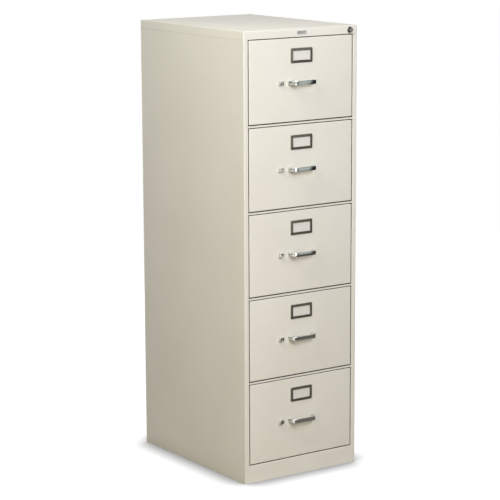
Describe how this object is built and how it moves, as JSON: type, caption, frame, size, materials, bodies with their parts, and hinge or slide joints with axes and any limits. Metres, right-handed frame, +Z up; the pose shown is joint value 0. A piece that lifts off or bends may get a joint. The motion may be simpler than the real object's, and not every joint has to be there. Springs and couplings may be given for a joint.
{
  "type": "vertical file cabinet",
  "caption": "Tall steel vertical file cabinet with full-extension drawers on roller cradles, label holders, bar pulls with thumb latches and a push lock.",
  "frame": {"origin": "centre of the cabinet's box on the floor", "axes": "+Z up; the drawers face -Y; +X to the right as the front is seen"},
  "size_m": [0.4636, 0.665, 1.524],
  "materials": {
    "case_paint": "semi-gloss putty enamel",
    "tray_paint": "satin putty enamel",
    "chrome": "polished",
    "holder_bronze": "satin dark bronze-grey",
    "zinc_steel": "zinc plated",
    "nylon": "natural nylon",
    "lock_brass": "machined"
  },
  "bodies": {
    "case": {"side_panel_left": "case_paint", "side_panel_right": "case_paint", "back_panel": "case_paint", "top_cap": "case_paint", "base_frame": "case_paint", "divider_rails": "case_paint", "uprights": "zinc_steel", "case_rails": "zinc_steel", "latch_strikes": "zinc_steel", "lock_bar_guides": "zinc_steel", "case_rollers": "nylon", "lock_housing": "chrome"},
    "drawer_1": {"drawer_1_front": "case_paint", "drawer_1_tray": "tray_paint", "drawer_1_rails": "zinc_steel", "drawer_1_pull": "chrome", "drawer_1_label_holder": "holder_bronze"},
    "cradle_1": {"cradle_1": "zinc_steel", "cradle_1_rollers": "nylon"},
    "latch_1": {"latch_1": "chrome"},
    "follower_1": {"follower_1": "tray_paint"},
    "drawer_2": {"drawer_2_front": "case_paint", "drawer_2_tray": "tray_paint", "drawer_2_rails": "zinc_steel", "drawer_2_pull": "chrome", "drawer_2_label_holder": "holder_bronze"},
    "cradle_2": {"cradle_2": "zinc_steel", "cradle_2_rollers": "nylon"},
    "latch_2": {"latch_2": "chrome"},
    "follower_2": {"follower_2": "tray_paint"},
    "drawer_3": {"drawer_3_front": "case_paint", "drawer_3_tray": "tray_paint", "drawer_3_rails": "zinc_steel", "drawer_3_pull": "chrome", "drawer_3_label_holder": "holder_bronze"},
    "cradle_3": {"cradle_3": "zinc_steel", "cradle_3_rollers": "nylon"},
    "latch_3": {"latch_3": "chrome"},
    "follower_3": {"follower_3": "tray_paint"},
    "drawer_4": {"drawer_4_front": "case_paint", "drawer_4_tray": "tray_paint", "drawer_4_rails": "zinc_steel", "drawer_4_pull": "chrome", "drawer_4_label_holder": "holder_bronze"},
    "cradle_4": {"cradle_4": "zinc_steel", "cradle_4_rollers": "nylon"},
    "latch_4": {"latch_4": "chrome"},
    "follower_4": {"follower_4": "tray_paint"},
    "drawer_5": {"drawer_5_front": "case_paint", "drawer_5_tray": "tray_paint", "drawer_5_rails": "zinc_steel", "drawer_5_pull": "chrome", "drawer_5_label_holder": "holder_bronze"},
    "cradle_5": {"cradle_5": "zinc_steel", "cradle_5_rollers": "nylon"},
    "latch_5": {"latch_5": "chrome"},
    "follower_5": {"follower_5": "tray_paint"},
    "lock_plunger": {"lock_plunger": "chrome"},
    "lock_core": {"lock_core": "lock_brass"},
    "lock_bar": {"lock_bar": "zinc_steel"}
  },
  "joints": [
    {"name": "drawer_1_slide", "type": "slide", "parent": "case", "child": "drawer_1", "axis": [0, -1, 0], "range_m": [0, 0.56]},
    {"name": "cradle_1_slide", "type": "slide", "parent": "case", "child": "cradle_1", "axis": [0, -1, 0], "range_m": [0, 0.28]},
    {"name": "latch_1_slide", "type": "slide", "parent": "drawer_1", "child": "latch_1", "axis": [1, 0, 0], "range_m": [-0.004, 0.0025], "stiffness_N_per_m": 400},
    {"name": "follower_1_slide", "type": "slide", "parent": "drawer_1", "child": "follower_1", "axis": [0, -1, 0], "range_m": [0, 0.39]},
    {"name": "drawer_2_slide", "type": "slide", "parent": "case", "child": "drawer_2", "axis": [0, -1, 0], "range_m": [0, 0.56]},
    {"name": "cradle_2_slide", "type": "slide", "parent": "case", "child": "cradle_2", "axis": [0, -1, 0], "range_m": [0, 0.28]},
    {"name": "latch_2_slide", "type": "slide", "parent": "drawer_2", "child": "latch_2", "axis": [1, 0, 0], "range_m": [-0.004, 0.0025], "stiffness_N_per_m": 400},
    {"name": "follower_2_slide", "type": "slide", "parent": "drawer_2", "child": "follower_2", "axis": [0, -1, 0], "range_m": [0, 0.39]},
    {"name": "drawer_3_slide", "type": "slide", "parent": "case", "child": "drawer_3", "axis": [0, -1, 0], "range_m": [0, 0.56]},
    {"name": "cradle_3_slide", "type": "slide", "parent": "case", "child": "cradle_3", "axis": [0, -1, 0], "range_m": [0, 0.28]},
    {"name": "latch_3_slide", "type": "slide", "parent": "drawer_3", "child": "latch_3", "axis": [1, 0, 0], "range_m": [-0.004, 0.0025], "stiffness_N_per_m": 400},
    {"name": "follower_3_slide", "type": "slide", "parent": "drawer_3", "child": "follower_3", "axis": [0, -1, 0], "range_m": [0, 0.39]},
    {"name": "drawer_4_slide", "type": "slide", "parent": "case", "child": "drawer_4", "axis": [0, -1, 0], "range_m": [0, 0.56]},
    {"name": "cradle_4_slide", "type": "slide", "parent": "case", "child": "cradle_4", "axis": [0, -1, 0], "range_m": [0, 0.28]},
    {"name": "latch_4_slide", "type": "slide", "parent": "drawer_4", "child": "latch_4", "axis": [1, 0, 0], "range_m": [-0.004, 0.0025], "stiffness_N_per_m": 400},
    {"name": "follower_4_slide", "type": "slide", "parent": "drawer_4", "child": "follower_4", "axis": [0, -1, 0], "range_m": [0, 0.39]},
    {"name": "drawer_5_slide", "type": "slide", "parent": "case", "child": "drawer_5", "axis": [0, -1, 0], "range_m": [0, 0.56]},
    {"name": "cradle_5_slide", "type": "slide", "parent": "case", "child": "cradle_5", "axis": [0, -1, 0], "range_m": [0, 0.28]},
    {"name": "latch_5_slide", "type": "slide", "parent": "drawer_5", "child": "latch_5", "axis": [1, 0, 0], "range_m": [-0.004, 0.0025], "stiffness_N_per_m": 400},
    {"name": "follower_5_slide", "type": "slide", "parent": "drawer_5", "child": "follower_5", "axis": [0, -1, 0], "range_m": [0, 0.39]},
    {"name": "lock_plunger_slide", "type": "slide", "parent": "case", "child": "lock_plunger", "axis": [0, 1, 0], "range_m": [0, 0.0065]},
    {"name": "lock_bar_lift", "type": "slide", "parent": "case", "child": "lock_bar", "axis": [0, 0, 1], "range_m": [0, 0.0065]},
    {"name": "lock_core_turn", "type": "hinge", "parent": "lock_plunger", "child": "lock_core", "pos_m": [0.2, -0.3025, 1.5085], "axis": [0, 1, 0], "range_deg": [0, 90]}
  ],
  "couplings": [
    {"joint": "cradle_1_slide", "follows": "drawer_1_slide", "ratio": 0.5},
    {"joint": "cradle_2_slide", "follows": "drawer_2_slide", "ratio": 0.5},
    {"joint": "cradle_3_slide", "follows": "drawer_3_slide", "ratio": 0.5},
    {"joint": "cradle_4_slide", "follows": "drawer_4_slide", "ratio": 0.5},
    {"joint": "cradle_5_slide", "follows": "drawer_5_slide", "ratio": 0.5},
    {"joint": "lock_bar_lift", "follows": "lock_plunger_slide", "ratio": 1}
  ]
}
